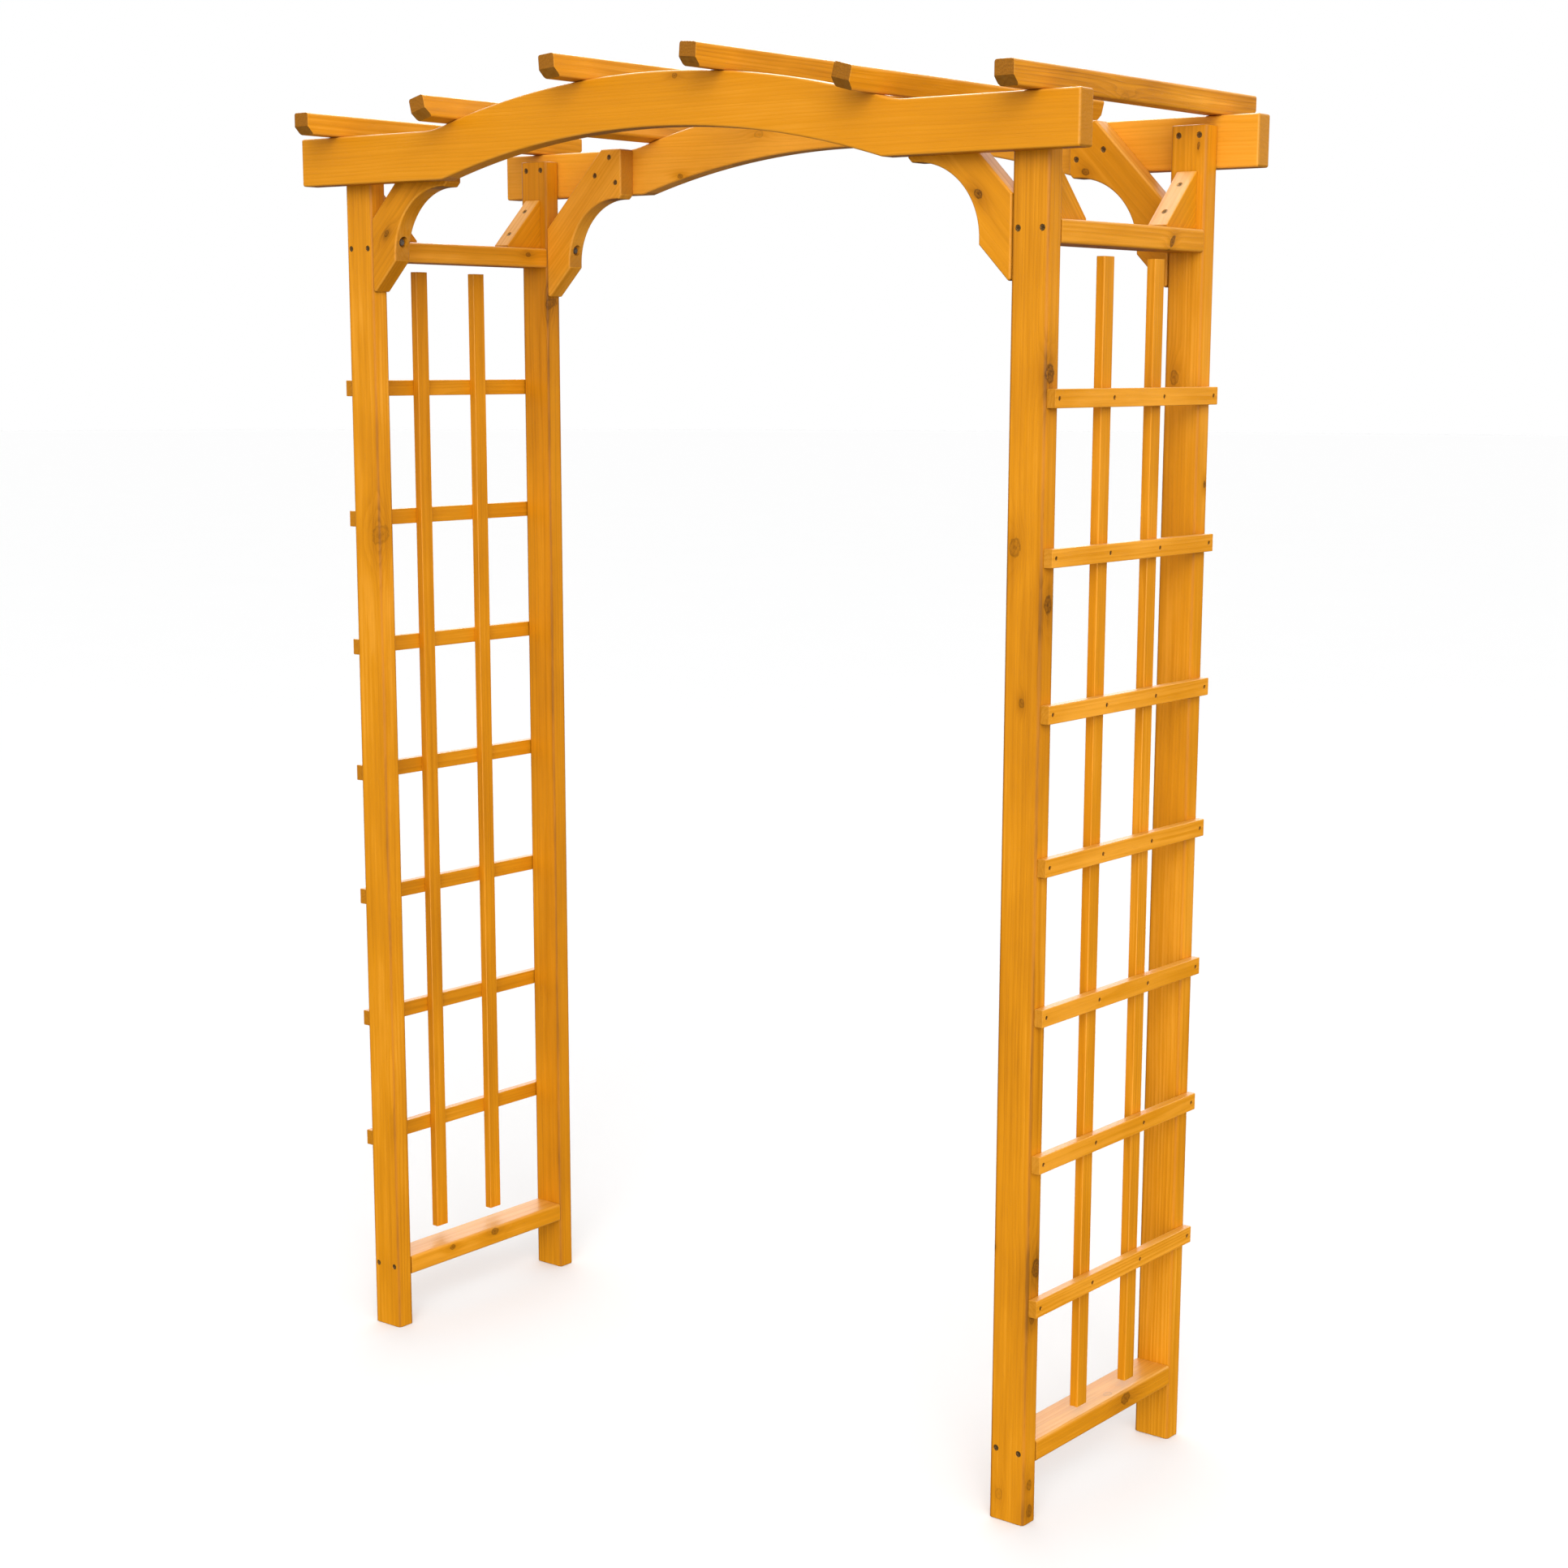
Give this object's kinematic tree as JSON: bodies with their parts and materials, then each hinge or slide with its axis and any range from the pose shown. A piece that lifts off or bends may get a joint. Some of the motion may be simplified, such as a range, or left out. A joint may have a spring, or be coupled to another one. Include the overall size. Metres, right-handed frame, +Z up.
{
  "type": "garden arch",
  "caption": "Free-standing wooden garden arch with trellis sides, arched beams, braces and cross rafters, for walking under and for climbing plants.",
  "frame": {"origin": "on the ground, at the middle of the arch", "axes": "+Z up, +X to the right across the path, +Y from the front to the rear along the path"},
  "size_m": [1.535, 0.658, 2.166],
  "materials": {
    "stained_wood": "satin honey-coloured stain on planed softwood",
    "screw_steel": "dull zinc plate"
  },
  "bodies": {
    "root": {"left_top_rail": "stained_wood", "left_bottom_rail": "stained_wood", "left_lath_1": "stained_wood", "left_lath_2": "stained_wood", "left_lath_3": "stained_wood", "left_lath_4": "stained_wood", "left_lath_5": "stained_wood", "left_lath_6": "stained_wood", "left_lath_7": "stained_wood", "left_upright_front": "stained_wood", "left_upright_rear": "stained_wood", "right_top_rail": "stained_wood", "right_bottom_rail": "stained_wood", "right_lath_1": "stained_wood", "right_lath_2": "stained_wood", "right_lath_3": "stained_wood", "right_lath_4": "stained_wood", "right_lath_5": "stained_wood", "right_lath_6": "stained_wood", "right_lath_7": "stained_wood", "right_upright_front": "stained_wood", "right_upright_rear": "stained_wood", "front_beam": "stained_wood", "front_left_post": "stained_wood", "front_left_corner_brace": "stained_wood", "front_left_knee_brace": "stained_wood", "front_right_post": "stained_wood", "front_right_corner_brace": "stained_wood", "front_right_knee_brace": "stained_wood", "rear_beam": "stained_wood", "rear_left_post": "stained_wood", "rear_left_corner_brace": "stained_wood", "rear_left_knee_brace": "stained_wood", "rear_right_post": "stained_wood", "rear_right_corner_brace": "stained_wood", "rear_right_knee_brace": "stained_wood", "rafter_1": "stained_wood", "rafter_2": "stained_wood", "rafter_3": "stained_wood", "rafter_4": "stained_wood", "rafter_5": "stained_wood", "rafter_6": "stained_wood", "front_left_coach_bolt": "screw_steel", "front_left_knee_screw_upper": "screw_steel", "front_left_knee_screw_lower": "screw_steel", "front_right_coach_bolt": "screw_steel", "front_right_knee_screw_upper": "screw_steel", "front_right_knee_screw_lower": "screw_steel", "rear_left_coach_bolt": "screw_steel", "rear_left_knee_screw_upper": "screw_steel", "rear_left_knee_screw_lower": "screw_steel", "rear_right_coach_bolt": "screw_steel", "rear_right_knee_screw_upper": "screw_steel", "rear_right_knee_screw_lower": "screw_steel"}
  },
  "joints": []
}
